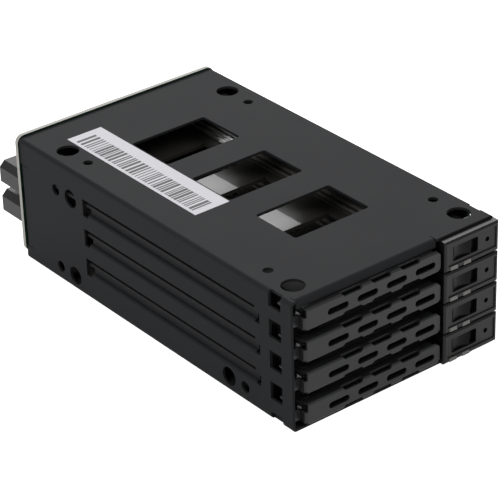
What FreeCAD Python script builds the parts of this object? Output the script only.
import FreeCAD, Part
import math
import os

from FreeCAD import Vector

# A hot swap cage for four 2.5-inch drives: a folded sheet-metal sleeve, a backplane board
# screwed to its rear flanges, and four moulded trays that slide out of the front.
# Each tray carries a perforated swing lever, a latch bezel and a sprung release button.
#
# While modelling: x runs from the outer face of the left wall to the right, y from the
# front edge of the sheet to the rear, z up from the underside. The parts are saved about
# the middle of the whole cage's footprint, with the underside at z = 0.

# ---------------------------------------------------------------- driving dimensions, mm
WIDTH = 88.0
HEIGHT = 49.1
DEPTH = 153.0
SHEET = 1.0
INSIDE_BEND = 0.5
SEAM_X = 70.0               # butt seam on the underside
SEAM_GAP = 0.2

TRAYS = 4
TRAY_PITCH = 11.9
TRAY_BASE = 1.1             # underside of the lowest tray

# 2.5-inch drive, as the trays take it
DRIVE_WIDTH = 69.85
DRIVE_HOLE_ROWS = 61.72     # bottom holes, side to side
DRIVE_HOLE_PITCH = 76.6     # bottom holes, along the drive
DRIVE_REAR = 143.0          # connector end of the drive
DRIVE_HOLE_FROM_REAR = 14.0
DRIVE_SCREW_R = 1.6

# windows through the top and bottom plates and the tray floors
WINDOW_X = (28.1, 60.4)
WINDOW_STARTS = [31.3 + 35.05 * row for row in range(3)]
WINDOW_LENGTH = 21.2
WINDOW_CORNER = 1.0

# fixing holes in the top and bottom plates
PLATE_HOLE_X = 8.0          # from either side
SMALL_PLATE_HOLES = (1.8, (21.0, 121.2))
LARGE_PLATE_HOLES = (4.1, (8.3, 133.5))

# fixing holes in both side walls: radius, then (y, z) places
SMALL_SIDE_HOLES = (2.15, [(24.6, 5.9), (131.0, 5.9), (131.0, 37.2)])
LARGE_SIDE_HOLES = (3.5, [(33.3, 5.9), (122.0, 5.9), (122.0, 37.2)])

# hook windows near the front edge of the side walls, one at each tray boundary
HOOK_WINDOW_Y = (5.1, 11.2)
HOOK_WINDOW_BELOW = 4.9
HOOK_WINDOW_ABOVE = 1.9

# lanced rails: each is cut and folded out of the side wall below a tray runner
RAIL_Y = (18.5, 111.5)
SLOT_Y = (16.0, 114.5)
SLOT_BELOW = 3.4            # slot's lower edge under the tray's underside
SLOT_ABOVE = 3.5
RAIL_BEND = 0.0
RAIL_LIP_X = 2.0            # middle of the upturned lip
RAIL_SHELF = 2.4            # middle of the shelf under the tray's underside
RAIL_TOP_GAP = 0.1

# rear flanges and the backplane board
FLANGE_Z = (6.0, 39.0)
FLANGE_REACH = 8.0
FLANGE_BEND_START = 148.0
BOARD = 1.6
BOARD_OVERHANG = 0.5
BOARD_Z = (2.4, 49.9)
BOARD_CORNER = 3.0
BOARD_SCREW_X = 5.0
BOARD_SCREW_Z = (9.2, 35.6)
SCREW_R = 1.45

# swing lever: a perforated channel, depths along y from the cage's front edge
LEVER_SHEET = 0.8
LEVER_X = (5.0, 62.5)
LEVER_Z = (0.8, 8.9)        # above the tray's underside
LEVER_FACE = -2.0
LEVER_BACK = 1.5
LEVER_SLOTS = [18.1 + 12.55 * column for column in range(4)]
PIVOT = (7.0, 3.0)
PIN_R = 1.0
KNUCKLE_END = 1.8           # swings past the wall's inner face with 0.5 mm to spare
TIP_CORNER = 1.5            # chamfer of the lever's free end
TIP_CLEAR = 2.5             # the flanges stop this far short of the end, clear of the latch nose
NOTCH_HALF = 4.5            # half the length of a notch at the lever's edge
NOTCH_DEPTH = 1.2
NOTCH_SLOPE = 0.9           # how far each end of a notch slopes in

# latch bezel and release button at the right of each tray
BEZEL_X = (63.5, 87.9)
BEZEL_HEIGHT = 11.4
BEZEL_FRONT = -3.2
BEZEL_PANEL_X = (65.0, 86.6)    # the sunk panel inside the bezel's raised border
BEZEL_PANEL_Z = (1.9, 10.1)
BEZEL_PANEL_DEPTH = 0.4
BEZEL_LIP_X = 76.4              # right of here the bezel's lower edge is stepped back
BEZEL_LIP = (0.9, 0.6)          # depth and height of that step
GRIP_STARTS = (2.6, 5.2, 7.8)   # notches down the bezel's right edge
GRIP_SIZE = (0.5, 1.0)
BUTTON_RECESS_X = (67.2, 78.5)
BUTTON_RECESS_Z = (3.2, 8.7)
BUTTON_TRAVEL = 3.0

# light pipes under the drive: x of the lens and of the rod behind it
LIGHT_PIPES = [(67.75, 66.7), (73.6, 69.7)]
PIPE_WIDTH = 1.4

# moulded tray
TRAY_X = (5.0, 83.0)
TRAY_REAR = 144.0
FLOOR = 1.5
RUNNER_X = 1.3
SIDE_TOP = 8.6

# rear connectors
HEADER_REAR = 170.8

BOARD_FRONT = DEPTH
BOARD_REAR = DEPTH + BOARD
DRIVE_SIDE = (WIDTH - DRIVE_WIDTH) / 2 - 0.3
ORIGIN = Vector(-WIDTH / 2, -(BEZEL_FRONT + HEADER_REAR) / 2, 0)

PLANES = {
    "XY": (Vector(1, 0, 0), Vector(0, 1, 0), Vector(0, 0, 1)),
    "XZ": (Vector(1, 0, 0), Vector(0, 0, 1), Vector(0, 1, 0)),
    "YZ": (Vector(0, 1, 0), Vector(0, 0, 1), Vector(1, 0, 0)),
}


# ---------------------------------------------------------------- shape helpers
def box(x, y, z):
    """A block between two values along each axis."""
    return Part.makeBox(x[1] - x[0], y[1] - y[0], z[1] - z[0], Vector(x[0], y[0], z[0]))


def rod(radius, start, end):
    """A cylinder from one point to another."""
    return Part.makeCylinder(radius, (end - start).Length, start, end - start)


def mirrored(shape):
    """The shape on the other side of the cage's middle plane."""
    return shape.mirror(Vector(WIDTH / 2, 0, 0), Vector(1, 0, 0))


def prism(plane, edges, span):
    """Edges drawn in the (u, v) of a plane, closed to a face and pushed along its normal."""
    across, up, normal = PLANES[plane]

    def place(point):
        return across * point[0] + up * point[1] + normal * span[0]

    curves = []
    for edge in edges:
        if len(edge) == 3:
            curves.append(Part.Arc(*[place(point) for point in edge]).toShape())
        else:
            curves.append(Part.makeLine(place(edge[0]), place(edge[1])))
    face = Part.Face(Part.Wire(Part.__sortEdges__(curves)))
    return face.extrude(normal * (span[1] - span[0]))


def polygon(plane, points, span):
    """A prism with straight sides."""
    return prism(plane, list(zip(points, points[1:] + points[:1])), span)


def rounded(plane, u, v, radius, span):
    """A prism whose section is a rectangle with round corners, or a slot with round ends."""
    edges = []
    corners = [(u[1], v[1], 0), (u[0], v[1], 90), (u[0], v[0], 180), (u[1], v[0], 270)]
    ends = []
    for corner_u, corner_v, angle in corners:
        centre_u = corner_u - math.copysign(radius, corner_u - sum(u) / 2)
        centre_v = corner_v - math.copysign(radius, corner_v - sum(v) / 2)
        arc = []
        for turn in (0, 45, 90):
            bearing = math.radians(angle + turn)
            arc.append((centre_u + radius * math.cos(bearing), centre_v + radius * math.sin(bearing)))
        edges.append(tuple(arc))
        ends.append((arc[0], arc[2]))
    for (_, leaving), (arriving, _) in zip(ends, ends[1:] + ends[:1]):
        if math.dist(leaving, arriving) > 1e-6:
            edges.append((leaving, arriving))
    return prism(plane, edges, span)


def folded_sheet(plane, path, span, sheet=SHEET, inside=INSIDE_BEND):
    """A strip of sheet whose middle line follows a path, with a round outside at each fold.

    The inside of a fold is round too, unless its radius is given as zero.
    """
    points = [Vector(u, v, 0) for u, v in path]
    runs = [(after - before).normalize() for before, after in zip(points, points[1:])]
    normals = [Vector(-run.y, run.x, 0) for run in runs]
    middle_radius = inside + sheet / 2
    chains = []
    for side in (1, -1):
        chain = []
        here = points[0] + normals[0] * (side * sheet / 2)
        for index in range(1, len(points) - 1):
            before, after = runs[index - 1], runs[index]
            turn = math.copysign(1, before.x * after.y - before.y * after.x)
            setback = middle_radius * math.tan(before.getAngle(after) / 2)
            entry = points[index] - before * setback
            centre = entry + normals[index - 1] * (turn * middle_radius)
            radius = middle_radius - side * turn * sheet / 2
            first = entry + normals[index - 1] * (side * sheet / 2)
            peak = centre + (points[index] - centre).normalize() * radius
            last = points[index] + after * setback + normals[index] * (side * sheet / 2)
            chain.append((here, first))
            if radius > 0.01:
                chain.append((first, peak, last))
            here = last
        end = points[-1] + normals[-1] * (side * sheet / 2)
        chain.append((here, end))
        chains.append(chain)
    edges = chains[0] + chains[1]
    edges.append((chains[0][0][0], chains[1][0][0]))
    edges.append((chains[0][-1][-1], chains[1][-1][-1]))
    return prism(plane, edges, span)


def tray_z(tray):
    """Underside of a tray, counted from 1 at the bottom."""
    return TRAY_BASE + (tray - 1) * TRAY_PITCH


def window_spans():
    """Front and rear ends of the windows that the plates and the tray floors share."""
    return [(start, start + WINDOW_LENGTH) for start in WINDOW_STARTS]


# ---------------------------------------------------------------- the sheet-metal sleeve
def lanced_rail(tray):
    """One rail of the left wall, folded inwards and then up under the tray's runner."""
    base = tray_z(tray)
    path = [
        (SHEET / 2, base - SLOT_BELOW),
        (SHEET / 2, base - RAIL_SHELF),
        (RAIL_LIP_X, base - RAIL_SHELF),
        (RAIL_LIP_X, base - RAIL_TOP_GAP),
    ]
    return folded_sheet("XZ", path, RAIL_Y, inside=RAIL_BEND)


def side_wall_cuts():
    """Cutters for everything that is punched through both side walls."""
    through = (-1, WIDTH + 1)
    cutters = []
    for tray in range(2, TRAYS + 1):
        base = tray_z(tray)
        slot = (base - SLOT_BELOW, base + SLOT_ABOVE)
        cutters.append(box(through, (RAIL_Y[0], SLOT_Y[1]), slot))
        cutters.append(box(through, (SLOT_Y[0], RAIL_Y[0] + 0.1), (slot[0] + 0.7, slot[1] - 1.2)))
        cutters.append(box(through, HOOK_WINDOW_Y, (base - HOOK_WINDOW_BELOW, base + HOOK_WINDOW_ABOVE)))
    top_window = (tray_z(TRAYS + 1) - HOOK_WINDOW_BELOW - 0.5, HEIGHT + 1)
    for z in (top_window, (-1, TRAY_BASE + HOOK_WINDOW_ABOVE)):
        notch = box((-1, 1.5 * SHEET), HOOK_WINDOW_Y, z)
        cutters += [notch, mirrored(notch)]
    for radius, places in (SMALL_SIDE_HOLES, LARGE_SIDE_HOLES):
        for y, z in places:
            cutters.append(rod(radius, Vector(-1, y, z), Vector(WIDTH + 1, y, z)))
    return cutters


def plate_cuts():
    """Cutters for the holes and windows that the top and bottom plates share."""
    cutters = []
    for span in window_spans():
        cutters.append(rounded("XY", WINDOW_X, span, WINDOW_CORNER, (-1, HEIGHT + 1)))
    for radius, rows in (SMALL_PLATE_HOLES, LARGE_PLATE_HOLES):
        for x in (PLATE_HOLE_X, WIDTH - PLATE_HOLE_X):
            for y in rows:
                cutters.append(rod(radius, Vector(x, y, -1), Vector(x, y, HEIGHT + 1)))
    return cutters


def rear_flange():
    """The left rear flange, folded from the side wall, with its two screw holes."""
    middle = SHEET / 2
    path = [(middle, FLANGE_BEND_START), (middle, DEPTH - middle), (FLANGE_REACH, DEPTH - middle)]
    flange = folded_sheet("XY", path, FLANGE_Z)
    holes = []
    for z in BOARD_SCREW_Z:
        front, rear = Vector(BOARD_SCREW_X, DEPTH - 3, z), Vector(BOARD_SCREW_X, DEPTH + 1, z)
        holes.append(rod(SCREW_R + 0.05, front, rear))
    return flange.cut(holes)


def cage_shell():
    """The sleeve: one sheet folded four times, closed by a seam on the underside."""
    low, right, high = SHEET / 2, WIDTH - SHEET / 2, HEIGHT - SHEET / 2
    path = [
        (SEAM_X + SEAM_GAP / 2, low),
        (right, low),
        (right, high),
        (low, high),
        (low, low),
        (SEAM_X - SEAM_GAP / 2, low),
    ]
    sleeve = folded_sheet("XZ", path, (0, DEPTH))
    lip_x = (2.5, 62.0)
    lip_fold = 3.0
    cutters = plate_cuts() + side_wall_cuts()
    relief = box((-1, 1.6 * SHEET), (FLANGE_BEND_START, DEPTH + 1), (FLANGE_Z[0] - 0.3, FLANGE_Z[1] + 0.3))
    cutters += [relief, mirrored(relief)]
    cutters.append(box((lip_x[0] - 0.3, lip_x[1] + 0.3), (-1, lip_fold), (high - SHEET, HEIGHT + 1)))
    sleeve = sleeve.cut(cutters)
    lip_path = [(lip_fold, high), (SHEET / 2, high), (SHEET / 2, HEIGHT - 3.0)]
    folds = [folded_sheet("YZ", lip_path, lip_x)]
    for tray in range(2, TRAYS + 1):
        folds.append(lanced_rail(tray))
    folds.append(rear_flange())
    folds += [mirrored(fold) for fold in folds[1:]]
    return sleeve.fuse(folds).removeSplitter()


# ---------------------------------------------------------------- backplane
def board_screw_places():
    """The four places where the board is screwed to the rear flanges."""
    return [(x, z) for x in (BOARD_SCREW_X, WIDTH - BOARD_SCREW_X) for z in BOARD_SCREW_Z]


def backplane_board():
    """The circuit board, a little wider than the sleeve and with round corners."""
    x = (-BOARD_OVERHANG, WIDTH + BOARD_OVERHANG)
    board = rounded("XZ", x, BOARD_Z, BOARD_CORNER, (BOARD_FRONT, BOARD_REAR))
    holes = []
    for x, z in board_screw_places():
        holes.append(rod(SCREW_R + 0.15, Vector(x, BOARD_FRONT - 1, z), Vector(x, BOARD_REAR + 1, z)))
    return board.cut(holes)


def backplane_screws():
    """Pan-head screws from the rear, through the board and its flange."""
    screws = []
    low, high = 2.75, 1.9
    for x, z in board_screw_places():
        shank = rod(SCREW_R, Vector(x, DEPTH - 3.2, z), Vector(x, BOARD_REAR + 0.1, z))
        head = Part.makeCone(low, high, 1.7, Vector(x, BOARD_REAR, z), Vector(0, 1, 0))
        screws.append(head.fuse(shank).removeSplitter())
    return screws


def clinch_nuts():
    """Round nuts pressed to the front of the rear flanges."""
    nuts = []
    face = DEPTH - SHEET
    for x, z in board_screw_places():
        nut = rod(2.8, Vector(x, face - 1.8, z), Vector(x, face, z))
        nuts.append(nut.cut(rod(SCREW_R + 0.05, Vector(x, face - 3, z), Vector(x, face + 1, z))))
    return nuts


def drive_receptacle(tray):
    """The socket on the board's front that a drive's blade contacts plug into."""
    base = tray_z(tray)
    front = 144.6
    housing = box((14.0, 51.0), (front, BOARD_FRONT), (base + 2.2, base + 8.4))
    posts = []
    for x in ((11.4, 14.0), (51.0, 53.6)):
        posts.append(polygon("XY", [
            (x[0], BOARD_FRONT),
            (x[0], front + 0.6),
            (x[0] + 0.6, front - 0.7),
            (x[1] - 0.6, front - 0.7),
            (x[1], front + 0.6),
            (x[1], BOARD_FRONT),
        ], (base + 2.6, base + 7.4)))
    slots = []
    for x, key in (((16.2, 27.0), 16.2), ((29.2, 49.8), 48.6)):
        slots.append(box(x, (front - 1, front + 6.0), (base + 4.5, base + 6.5)))
        slots.append(box((key, key + 1.2), (front - 1, front + 6.0), (base + 3.3, base + 4.6)))
    return housing.fuse(posts).cut(slots).removeSplitter()


POWER_X = (2.0, 23.0)
POWER_STARTS = (12.2, 24.2)
POWER_TALL = 8.1
POWER_PIN_X = [POWER_X[0] + 2.9 + 5.08 * pin for pin in range(4)]
POWER_WALL = 1.0
POWER_FLOOR_Y = BOARD_REAR + 3.4


def power_header(bottom):
    """A four-way shrouded power header with two cut corners, open to the rear."""
    low, high = bottom, bottom + POWER_TALL
    cut = 2.2

    def outline(grow):
        left, right = POWER_X[0] + grow, POWER_X[1] - grow
        return [
            (left, low + grow),
            (right, low + grow),
            (right, high - grow - cut),
            (right - cut, high - grow),
            (left + cut, high - grow),
            (left, high - grow - cut),
        ]

    shell = polygon("XZ", outline(0), (BOARD_REAR, HEADER_REAR))
    hollow = polygon("XZ", outline(POWER_WALL), (POWER_FLOOR_Y, HEADER_REAR + 1))
    return shell.cut(hollow)


def power_pins():
    """The round pins of both power headers, standing on their floors."""
    pins = []
    for bottom in POWER_STARTS:
        middle = bottom + POWER_TALL / 2
        for x in POWER_PIN_X:
            pins.append(rod(1.04, Vector(x, POWER_FLOOR_Y, middle), Vector(x, HEADER_REAR - 5.0, middle)))
    return pins


def data_header(tray):
    """A seven-way data header on the rear of the board, with its L-shaped tongue space."""
    middle = tray_z(tray) + 5.4
    rear = BOARD_REAR + 8.4
    body = box((36.0, 51.4), (BOARD_REAR, rear), (middle - 2.8, middle + 2.8))
    mouth = box((38.2, 49.2), (BOARD_REAR + 2.0, rear + 1), (middle - 0.9, middle + 1.1))
    key = box((48.0, 49.2), (BOARD_REAR + 2.0, rear + 1), (middle - 2.0, middle))
    return body.cut([mouth, key])


def filter_capacitors():
    """Three can capacitors that smooth the drive supply."""
    cans = []
    for x, z in ((62.0, 14.0), (72.0, 14.0), (62.0, 26.0)):
        cans.append(rod(3.15, Vector(x, BOARD_REAR, z), Vector(x, BOARD_REAR + 7.0, z)))
    return cans


def status_lamps():
    """Small lamps on the front of the board, behind the ends of the light pipes."""
    lamps = []
    for tray in range(1, TRAYS + 1):
        for _, x in LIGHT_PIPES:
            z = tray_z(tray) + 0.4
            lamps.append(box((x - 0.8, x + 0.8), (BOARD_FRONT - 1.4, BOARD_FRONT), (z + 0.9, z + 2.3)))
    return lamps


# ---------------------------------------------------------------- tray
def tray_frame(tray):
    """The moulded tray: floor, side channels with runners, front wall and hinge lugs."""
    base = tray_z(tray)
    left_wall = (DRIVE_SIDE - 1.6, DRIVE_SIDE)
    front_wall = (6.5, 8.0)
    side = [
        box(left_wall, (front_wall[0], TRAY_REAR), (base, base + SIDE_TOP)),
        box((TRAY_X[0], left_wall[0]), (front_wall[1], TRAY_REAR), (base + SIDE_TOP - 1.0, base + SIDE_TOP)),
    ]
    for rib in range(6):
        y = 16.0 + rib * 24.9
        side.append(box((TRAY_X[0], left_wall[0]), (y, y + 1.2), (base, base + SIDE_TOP)))
    side.append(polygon("XY", [
        (TRAY_X[0] + 0.1, 12.0),
        (RUNNER_X + 1.2, 12.0),
        (RUNNER_X, 14.0),
        (RUNNER_X, TRAY_REAR - 5.0),
        (RUNNER_X + 1.6, TRAY_REAR - 1.0),
        (TRAY_X[0] + 0.1, TRAY_REAR - 1.0),
    ], (base, base + 1.2)))
    body = [
        box(TRAY_X, (front_wall[0] - 0.1, TRAY_REAR), (base, base + FLOOR)),
        box((TRAY_X[0], BEZEL_X[0] - 0.2), (0.5, front_wall[0]), (base, base + 0.6)),
        box((6.2, WIDTH - 6.2), front_wall, (base, base + LEVER_Z[1])),
    ]
    for x in (64.6, 71.0):
        body.append(box((x, x + 0.8), (front_wall[1], TRAY_REAR), (base + FLOOR, base + 1.9)))
    body += side + [mirrored(piece) for piece in side]
    for z in ((1.8, 3.4), (6.3, 7.9)):
        span = (base + z[0], base + z[1])
        body.append(rod(2.3, Vector(*PIVOT, span[0]), Vector(*PIVOT, span[1])))
        body.append(box((6.0, 9.3), (PIVOT[1], front_wall[0] + 0.1), span))
    frame = body[0].fuse(body[1:])

    cutters = [box(WINDOW_X, span, (base - 1, base + FLOOR + 1)) for span in window_spans()]
    for x in (WIDTH / 2 - DRIVE_HOLE_ROWS / 2, WIDTH / 2 + DRIVE_HOLE_ROWS / 2):
        for step in (0, DRIVE_HOLE_PITCH):
            y = DRIVE_REAR - DRIVE_HOLE_FROM_REAR - step
            cutters.append(rod(DRIVE_SCREW_R, Vector(x, y, base - 1), Vector(x, y, base + 3)))
    groove = (base + 0.5, base + FLOOR + 0.1)
    for _, x in LIGHT_PIPES:
        half = PIPE_WIDTH / 2 + 0.2
        cutters.append(box((x - half, x + half), (front_wall[0] - 1, TRAY_REAR + 1), groove))
    cutters.append(box((68.8, 72.8), (front_wall[0] - 1, front_wall[1] + 1.0), groove))
    for z in ((0.6, 1.75), (7.95, 9.1)):
        cutters.append(box((0, PIVOT[0] + 7.8), (0, PIVOT[1] + 7.8), (base + z[0], base + z[1])))
    cutters.append(rod(PIN_R + 0.06, Vector(*PIVOT, base + 0.7), Vector(*PIVOT, base + 9)))
    return frame.cut(cutters).removeSplitter()


def lever(tray):
    """The swing lever: a perforated channel with two hooked hinge ears and a knuckle tab."""
    base = tray_z(tray)
    low, high = base + LEVER_Z[0], base + LEVER_Z[1]
    half = LEVER_SHEET / 2
    face_y = LEVER_FACE + half
    path = [(LEVER_BACK, low + half), (face_y, low + half), (face_y, high - half), (LEVER_BACK, high - half)]
    pieces = [folded_sheet("YZ", path, LEVER_X, LEVER_SHEET, 0)]
    ear = [
        (LEVER_X[0], 0.0),
        (4.2, 2.4),
        (3.6, 5.2),
        (RUNNER_X, 5.4),
        (RUNNER_X, 8.0),
        (3.2, 8.4),
        (5.4, 6.6),
        (9.6, 5.6),
        (14.0, LEVER_BACK),
        (14.0, 0.0),
    ]
    for z in ((low, low + LEVER_SHEET), (high - LEVER_SHEET, high)):
        pieces.append(polygon("XY", ear, z))
    knuckle = [(9.0, face_y), (4.2, face_y), (4.2, 1.6), (KNUCKLE_END, 1.6)]
    pieces.append(folded_sheet("XY", knuckle, (base + 1.9, base + 5.9), LEVER_SHEET, 0))
    channel = pieces[0].fuse(pieces[1:])

    cutters = []
    middle = (low + high) / 2 - 0.4
    front_to_inside = (LEVER_FACE - 1, LEVER_FACE + LEVER_SHEET + 0.1)
    for x in LEVER_SLOTS:
        cutters.append(rounded("XZ", (x - 4.4, x + 4.4), (middle - 1.2, middle + 1.2), 1.2, front_to_inside))
    for before, after in zip(LEVER_SLOTS, LEVER_SLOTS[1:]):
        x = (before + after) / 2
        for edge, inward in ((low, 1), (high, -1)):
            cutters.append(polygon("XZ", [
                (x - NOTCH_HALF, edge - inward),
                (x - NOTCH_HALF, edge),
                (x - NOTCH_HALF + NOTCH_SLOPE, edge + inward * NOTCH_DEPTH),
                (x + NOTCH_HALF - NOTCH_SLOPE, edge + inward * NOTCH_DEPTH),
                (x + NOTCH_HALF, edge),
                (x + NOTCH_HALF, edge - inward),
            ], (LEVER_FACE - 1, LEVER_FACE + 1.6)))
    tip = LEVER_X[1]
    behind_face = (LEVER_FACE + LEVER_SHEET, LEVER_BACK + 1)
    cutters.append(box((tip - TIP_CLEAR, tip + 1), behind_face, (low - 1, high + 1)))
    for edge, inward in ((low, 1), (high, -1)):
        cutters.append(polygon("XZ", [
            (tip - TIP_CORNER, edge),
            (tip + 0.1, edge + inward * (TIP_CORNER + 0.1)),
            (tip + 0.1, edge - inward * 0.1),
            (tip - TIP_CORNER, edge - inward * 0.1),
        ], (LEVER_FACE - 1, LEVER_BACK + 1)))
    cutters.append(rod(PIN_R + 0.02, Vector(*PIVOT, low - 1), Vector(*PIVOT, high + 1)))
    return channel.cut(cutters).removeSplitter()


def lever_pin(tray):
    """The hinge pin, with a flat head on top of the upper ear."""
    base = tray_z(tray)
    shank = rod(PIN_R, Vector(*PIVOT, base + 0.7), Vector(*PIVOT, base + LEVER_Z[1] + 0.1))
    head = rod(1.7, Vector(*PIVOT, base + LEVER_Z[1]), Vector(*PIVOT, base + LEVER_Z[1] + 0.3))
    return shank.fuse(head).removeSplitter()


def lever_spring(tray):
    """The leaf spring bent round the pin: one leg on the front wall, one behind the lever."""
    base = tray_z(tray)
    bow = 1.6
    path = [
        (PIVOT[0] + 5.5, 6.2),
        (PIVOT[0] - bow, PIVOT[1] + 1.7),
        (PIVOT[0] - bow, PIVOT[1] - 1.7),
        (PIVOT[0] + 5.0, -0.95),
    ]
    return folded_sheet("XY", path, (base + 3.8, base + 6.0), 0.3, 1.0)


def latch_bezel(tray):
    """The latch bezel: a bevelled front block with a hollow plug behind it."""
    base = tray_z(tray)
    block = box(BEZEL_X, (BEZEL_FRONT, -0.2), (base, base + BEZEL_HEIGHT))
    rim = [edge for edge in block.Edges if edge.BoundBox.YMax < BEZEL_FRONT + 0.1]
    block = block.makeChamfer(0.6, rim)
    plug = box((BEZEL_X[0] + 0.2, 86.6), (-0.3, 6.3), (base + 0.2, base + 11.0))
    hollow = box((64.9, 85.4), (BEZEL_FRONT + 1.8, 7.0), (base + 1.7, base + 9.9))
    recess_z = (base + BUTTON_RECESS_Z[0], base + BUTTON_RECESS_Z[1])
    recess = rounded("XZ", BUTTON_RECESS_X, recess_z, 0.6, (-4, 0))
    lamp_hole = rod(0.9, Vector(82.8, -4, base + 6.0), Vector(82.8, 0, base + 6.0))
    nose_way = box((BEZEL_X[0] - 1, 65.0), (-1.3, 1.0), (base + 2.9, base + 7.2))
    panel_z = (base + BEZEL_PANEL_Z[0], base + BEZEL_PANEL_Z[1])
    panel = box(BEZEL_PANEL_X, (BEZEL_FRONT - 1, BEZEL_FRONT + BEZEL_PANEL_DEPTH), panel_z)
    lip_y = (BEZEL_FRONT - 1, BEZEL_FRONT + BEZEL_LIP[0])
    lip = box((BEZEL_LIP_X, WIDTH + 1), lip_y, (base - 1, base + BEZEL_LIP[1]))
    cutters = [hollow, recess, lamp_hole, nose_way, panel, lip]
    for start in GRIP_STARTS:
        low = base + start
        cutters.append(polygon("XZ", [
            (WIDTH + 1, low - GRIP_SIZE[0]),
            (BEZEL_X[1] - GRIP_SIZE[0], low),
            (BEZEL_X[1] - GRIP_SIZE[0], low + GRIP_SIZE[1]),
            (WIDTH + 1, low + GRIP_SIZE[1] + GRIP_SIZE[0]),
        ], (BEZEL_FRONT - 1, BEZEL_FRONT + 1.6)))
    for x, _ in LIGHT_PIPES:
        cutters.append(box((x - 1.8, x + 1.8), (BEZEL_FRONT - 1, 7.0), (base - 1, base + 1.65)))
    cutters.append(box((65.8, 75.4), (-1.2, 7.0), (base - 1, base + 1.75)))
    return block.fuse(plug).cut(cutters).removeSplitter()


def release_button(tray):
    """The sliding release button: finger hollow in front, latch nose towards the lever."""
    base = tray_z(tray)
    left = BUTTON_RECESS_X[0] + 0.25
    right = BUTTON_RECESS_X[1] - BUTTON_TRAVEL - 0.2
    cap = box((left, right), (-2.9, -1.1), (base + 3.45, base + 8.45))
    flange = box((65.6, 80.5), (-1.2, 0.2), (base + 2.5, base + 9.3))
    seat = box((76.0, 77.3), (0.1, 2.8), (base + 4.0, base + 8.0))
    nose_line = [(65.7, -0.9), (62.2, -0.9), (61.2, 0.1), (61.2, 0.6), (65.7, 0.6)]
    nose = polygon("XY", nose_line, (base + 3.2, base + 6.9))
    hollow_radius = 9.0
    middle = (left + right) / 2
    hollow_y = -2.9 - hollow_radius + 1.0
    hollow = rod(hollow_radius, Vector(middle, hollow_y, base), Vector(middle, hollow_y, base + 12))
    return cap.cut(hollow).fuse([flange, seat, nose]).removeSplitter()


def button_spring(tray):
    """The zigzag leaf spring between the button's seat and the bezel's end wall."""
    base = tray_z(tray)
    near, far = 0.7, 2.7
    start, end, leaf, legs = 77.33, 85.37, 0.5, 8
    step = (end - start) / legs
    crests = [(start + step * turn, far if turn % 2 else near) for turn in range(legs + 1)]
    band = crests + [(x, y + leaf) for x, y in reversed(crests)]
    return polygon("XY", band, (base + 4.6, base + 7.4))


def light_pipe(tray):
    """Two clear light pipes, each a lens in the bezel and a rod in the tray's floor."""
    base = tray_z(tray)
    half = PIPE_WIDTH / 2
    jog = (-1.0, 8.0)
    pipes = []
    for lens_x, rod_x in LIGHT_PIPES:
        lens = box((lens_x - 1.65, lens_x + 1.65), (BEZEL_FRONT + 0.1, -0.9), (base + 0.15, base + 1.55))
        start_x = rod_x if abs(lens_x - rod_x) < 2 else lens_x
        bar = polygon("XY", [
            (start_x - half, jog[0]),
            (start_x + half, jog[0]),
            (rod_x + half, jog[1]),
            (rod_x + half, TRAY_REAR - 0.5),
            (rod_x - half, TRAY_REAR - 0.5),
            (rod_x - half, jog[1]),
        ], (base + 0.5, base + FLOOR))
        pipes.append(lens.fuse(bar).removeSplitter())
    return pipes


# ---------------------------------------------------------------- label
def serial_label():
    """The blank adhesive label on the top plate."""
    return box((12.8, 27.5), (65.7, 140.7), (HEIGHT, HEIGHT + 0.12))


# ---------------------------------------------------------------- saving
def save(node, shape):
    """Writes one node, moved to the cage's own origin."""
    solids = shape if isinstance(shape, list) else [shape]
    whole = Part.makeCompound(solids) if len(solids) > 1 else solids[0]
    whole.translate(ORIGIN)
    whole.exportStep(os.path.join("parts", node + ".step"))
    print(f"{node}: {len(whole.Solids)} solid(s), {whole.Volume:.1f} mm3, valid {whole.isValid()}")


def main():
    os.makedirs("parts", exist_ok=True)
    save("cage_shell", cage_shell())
    save("serial_label", serial_label())
    save("backplane_board", backplane_board())
    save("backplane_screws", backplane_screws())
    save("clinch_nuts", clinch_nuts())
    save("power_pins", power_pins())
    save("filter_capacitors", filter_capacitors())
    save("status_lamps", status_lamps())
    for number, bottom in enumerate(POWER_STARTS, 1):
        save(f"power_header_{number}", power_header(bottom))
    for tray in range(1, TRAYS + 1):
        save(f"drive_receptacle_{tray}", drive_receptacle(tray))
        save(f"data_header_{tray}", data_header(tray))
        save(f"tray_frame_{tray}", tray_frame(tray))
        save(f"lever_{tray}", lever(tray))
        save(f"lever_pin_{tray}", lever_pin(tray))
        save(f"lever_spring_{tray}", lever_spring(tray))
        save(f"latch_bezel_{tray}", latch_bezel(tray))
        save(f"release_button_{tray}", release_button(tray))
        save(f"button_spring_{tray}", button_spring(tray))
        save(f"light_pipe_{tray}", light_pipe(tray))


main()
